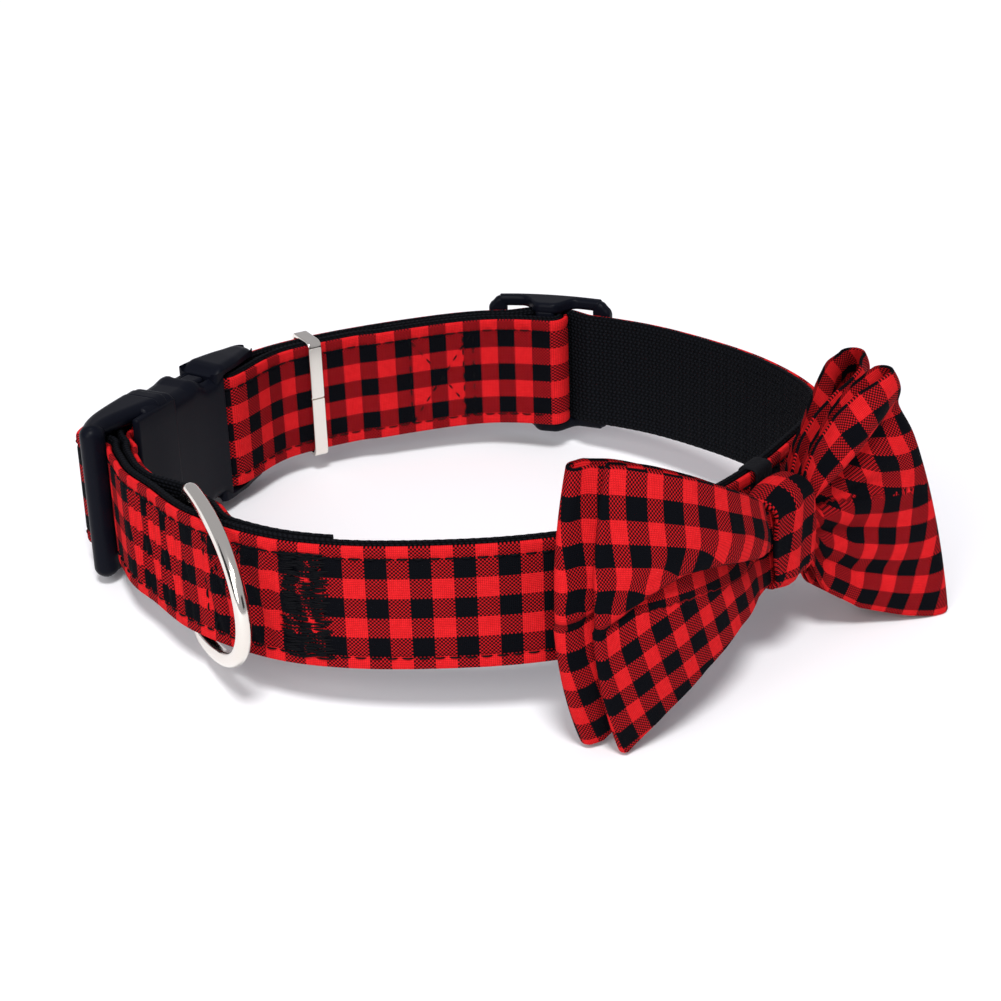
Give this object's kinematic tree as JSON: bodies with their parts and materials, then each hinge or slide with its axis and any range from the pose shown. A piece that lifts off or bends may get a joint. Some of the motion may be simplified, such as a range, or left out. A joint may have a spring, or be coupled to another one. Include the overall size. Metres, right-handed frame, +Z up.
{
  "type": "pet bow tie collar",
  "caption": "Webbing pet collar with a checked cloth cover, side release buckle, D ring, slider and a two layer bow tie, lying in a closed loop.",
  "frame": {"origin": "under the middle of the whole collar, on the table it lies on", "axes": "+Z up, +X towards the bow's side of the loop, -X towards the buckle, -Y towards the D ring and the bow's left wing"},
  "size_m": [0.1792, 0.1384, 0.0575],
  "materials": {
    "webbing": "woven, matt",
    "check_cloth": "woven red and black check, matt",
    "plastic": "satin black",
    "nickel": "polished nickel plate"
  },
  "bodies": {
    "collar": {"webbing_strap": "webbing", "plaid_cover": "check_cloth", "buckle_plug": "plastic", "buckle_socket": "plastic", "strap_slider": "plastic", "keeper_loop": "nickel", "bow_elastic": "webbing", "bow_rear": "check_cloth", "bow_front": "check_cloth", "bow_knot": "check_cloth"},
    "ring": {"d_ring": "nickel"}
  },
  "joints": [
    {"name": "d_ring_swing", "type": "hinge", "parent": "collar", "child": "ring", "pos_m": [-0.06342, -0.03159, 0.0223], "axis": [0.0309, -0.0046, -0.9995], "range_deg": [0, 130]}
  ]
}
